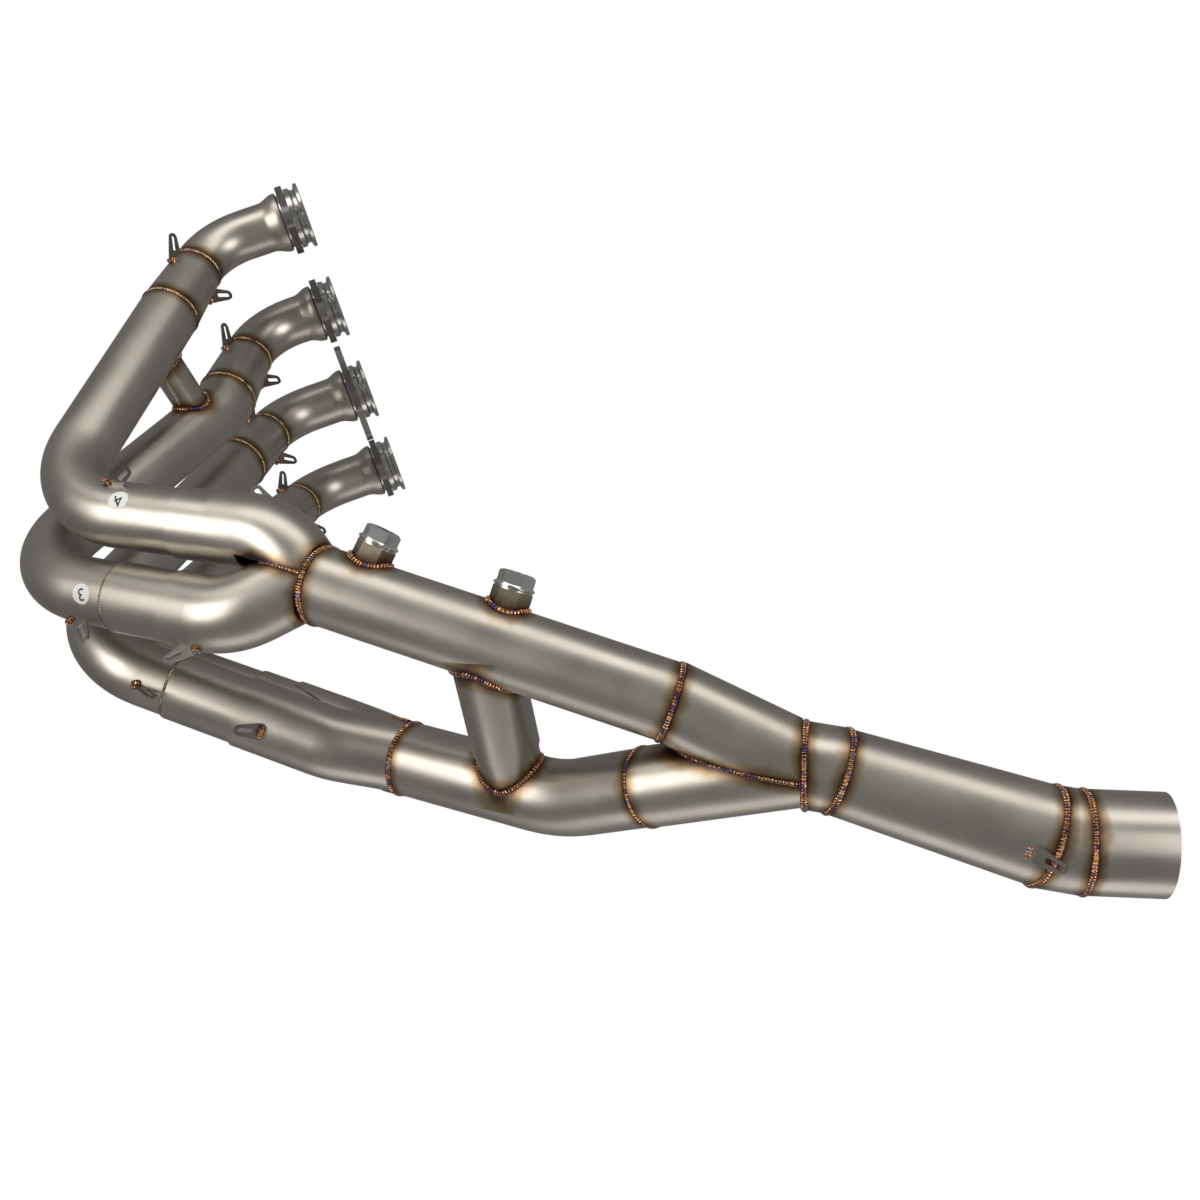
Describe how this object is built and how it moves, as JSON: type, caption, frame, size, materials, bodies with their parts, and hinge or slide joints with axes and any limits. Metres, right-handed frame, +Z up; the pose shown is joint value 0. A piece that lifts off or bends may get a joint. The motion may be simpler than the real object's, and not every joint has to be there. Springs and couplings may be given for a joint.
{
  "type": "motorcycle exhaust header",
  "caption": "Bare titanium-style motorcycle exhaust header with loose port flanges, bent primary pipes that merge in pairs, crossovers, plugged sensor bungs, a collector cone and an outlet.",
  "frame": {"origin": "middle of the row of ports, on the faces of the port spigots", "axes": "+X to the rear of the machine, +Y across it from pipe 4 to pipe 1, +Z up, as fitted under the engine"},
  "size_m": [0.781, 0.3482, 0.4323],
  "materials": {
    "titanium_tube": "satin, bead blasted",
    "titanium_sleeve": "satin, bead blasted",
    "machined_spigot": "turned",
    "flange_plate": "matt, cut plate",
    "outlet_metal": "satin",
    "bung_metal": "machined",
    "plug_chrome": "bright plated",
    "washer_metal": "plain",
    "tab_plate": "dark, heat tinted",
    "weld_bead": "heat tinted"
  },
  "bodies": {
    "root": {"port_spigot_1": "machined_spigot", "head_flange_1": "flange_plate", "head_pipe_1": "titanium_tube", "tapered_sleeve_1": "titanium_sleeve", "primary_pipe_1": "titanium_tube", "slip_sleeve_1": "titanium_sleeve", "fork_leg_1": "titanium_tube", "head_tabs_1": "tab_plate", "slip_tabs_1": "tab_plate", "port_spigot_2": "machined_spigot", "head_flange_2": "flange_plate", "head_pipe_2": "titanium_tube", "tapered_sleeve_2": "titanium_sleeve", "primary_pipe_2": "titanium_tube", "slip_sleeve_2": "titanium_sleeve", "fork_leg_2": "titanium_tube", "head_tabs_2": "tab_plate", "slip_tabs_2": "tab_plate", "port_spigot_3": "machined_spigot", "head_flange_3": "flange_plate", "head_pipe_3": "titanium_tube", "tapered_sleeve_3": "titanium_sleeve", "primary_pipe_3": "titanium_tube", "slip_sleeve_3": "titanium_sleeve", "fork_leg_3": "titanium_tube", "head_tabs_3": "tab_plate", "slip_tabs_3": "tab_plate", "port_spigot_4": "machined_spigot", "head_flange_4": "flange_plate", "head_pipe_4": "titanium_tube", "tapered_sleeve_4": "titanium_sleeve", "primary_pipe_4": "titanium_tube", "slip_sleeve_4": "titanium_sleeve", "fork_leg_4": "titanium_tube", "head_tabs_4": "tab_plate", "slip_tabs_4": "tab_plate", "secondary_pipe_34": "titanium_tube", "secondary_pipe_12": "titanium_tube", "collector_leg_34": "titanium_tube", "collector_leg_12": "titanium_tube", "collector_cone": "titanium_tube", "collector_collar": "titanium_sleeve", "outlet_wedge": "titanium_sleeve", "crossover_34": "titanium_sleeve", "crossover_12": "titanium_sleeve", "main_crossover": "titanium_sleeve", "crossover_stub": "titanium_sleeve", "outlet_sleeve": "outlet_metal", "front_bung": "bung_metal", "rear_bung": "bung_metal", "front_plug": "plug_chrome", "rear_plug": "plug_chrome", "plug_washers": "washer_metal", "outlet_tab": "tab_plate", "head_beads": "weld_bead", "slip_beads": "weld_bead", "fork_beads": "weld_bead", "collector_beads": "weld_bead"}
  },
  "joints": []
}
